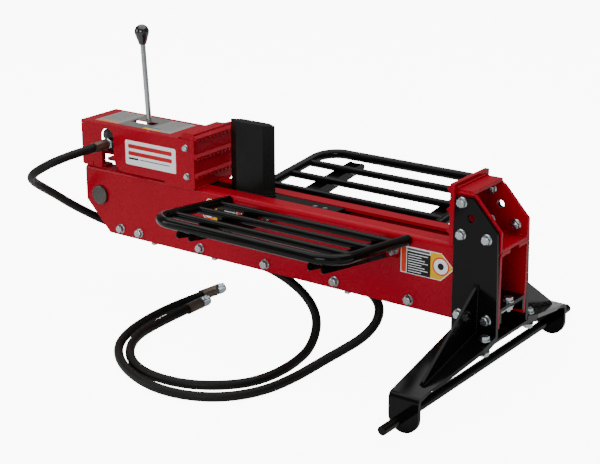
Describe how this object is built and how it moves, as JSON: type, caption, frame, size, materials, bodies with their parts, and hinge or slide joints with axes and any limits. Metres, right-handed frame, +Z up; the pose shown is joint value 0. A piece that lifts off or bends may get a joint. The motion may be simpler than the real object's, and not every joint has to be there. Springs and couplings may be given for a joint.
{
  "type": "tractor-mounted log splitter",
  "caption": "Horizontal two-way hydraulic log splitter for a tractor's three-point hitch, with a slotted beam, sliding double-edged wedge, toothed feet, log trays and hoses.",
  "frame": {"origin": "centre of the lower hitch bar, midway between the two plates that carry it", "axes": "+X along the beam towards the tractor hitch, +Y across to the far side, +Z up"},
  "size_m": [1.3207, 0.9533, 0.7276],
  "materials": {
    "black_paint": "gloss",
    "red_paint": "gloss",
    "zinc_steel": "zinc plated",
    "bar_steel": "bright turned",
    "rod_chrome": "polished",
    "steel": "machined",
    "cast_body": "painted casting",
    "plated_fitting": "dull plated",
    "hose_rubber": "matte",
    "seal_rubber": "matte",
    "knob_plastic": "gloss"
  },
  "bodies": {
    "frame": {"control_foot_cap": "red_paint", "control_foot_cheeks": "red_paint", "control_foot_plate": "red_paint", "control_foot_ridges": "red_paint", "cover_screws": "zinc_steel", "cross_channel": "black_paint", "cylinder_barrel": "black_paint", "cylinder_base": "black_paint", "cylinder_gland": "steel", "cylinder_pin": "bar_steel", "far_leg": "black_paint", "far_log_tray": "black_paint", "far_rail": "red_paint", "fulcrum_pin": "zinc_steel", "guide_bars": "red_paint", "hitch_bar": "black_paint", "hitch_cheeks": "red_paint", "hitch_floor_plate": "red_paint", "hitch_foot_plate": "red_paint", "hitch_foot_ridges": "red_paint", "hitch_top_plate": "red_paint", "hose_end_fittings": "plated_fitting", "hose_hangers": "zinc_steel", "leg_bolts": "zinc_steel", "leg_gussets": "black_paint", "leg_nuts": "zinc_steel", "lever_bracket": "zinc_steel", "near_leg": "black_paint", "near_log_tray": "black_paint", "near_rail": "red_paint", "pin_retainer": "black_paint", "port_fittings": "plated_fitting", "rail_bolts": "zinc_steel", "rail_nuts": "zinc_steel", "rail_spacers": "zinc_steel", "relief_valve": "cast_body", "return_hose": "hose_rubber", "socket_bolts": "zinc_steel", "supply_hose": "hose_rubber", "tie_bolts": "zinc_steel", "tie_plate": "black_paint", "tray_brackets": "black_paint", "tray_sockets": "red_paint", "valve_body": "cast_body", "valve_cap": "cast_body", "valve_cover": "red_paint", "valve_mount": "red_paint", "work_pipes": "zinc_steel"},
    "wedge": {"wedge_carriage": "black_paint", "carriage_lugs": "black_paint", "carriage_screws": "zinc_steel", "wedge_blade": "black_paint", "piston_rod": "rod_chrome", "piston": "steel", "piston_seals": "seal_rubber", "rod_pin": "zinc_steel", "rod_pin_clips": "zinc_steel"},
    "lever": {"control_lever": "zinc_steel", "lever_knob": "knob_plastic"},
    "spool": {"valve_spool": "rod_chrome"}
  },
  "joints": [
    {"name": "wedge_slide", "type": "slide", "parent": "frame", "child": "wedge", "axis": [1, 0, 0], "range_m": [0, 0.47]},
    {"name": "lever_hinge", "type": "hinge", "parent": "frame", "child": "lever", "pos_m": [-1.0074, 0, 0.336], "axis": [0, 1, 0], "range_deg": [-8.5, 8.5], "stiffness_Nm_per_rad": 12},
    {"name": "spool_slide", "type": "slide", "parent": "frame", "child": "spool", "axis": [1, 0, 0], "range_m": [-0.0061, 0.0061]}
  ],
  "couplings": [
    {"joint": "spool_slide", "follows": "lever_hinge", "m_per_rad": 0.04}
  ]
}
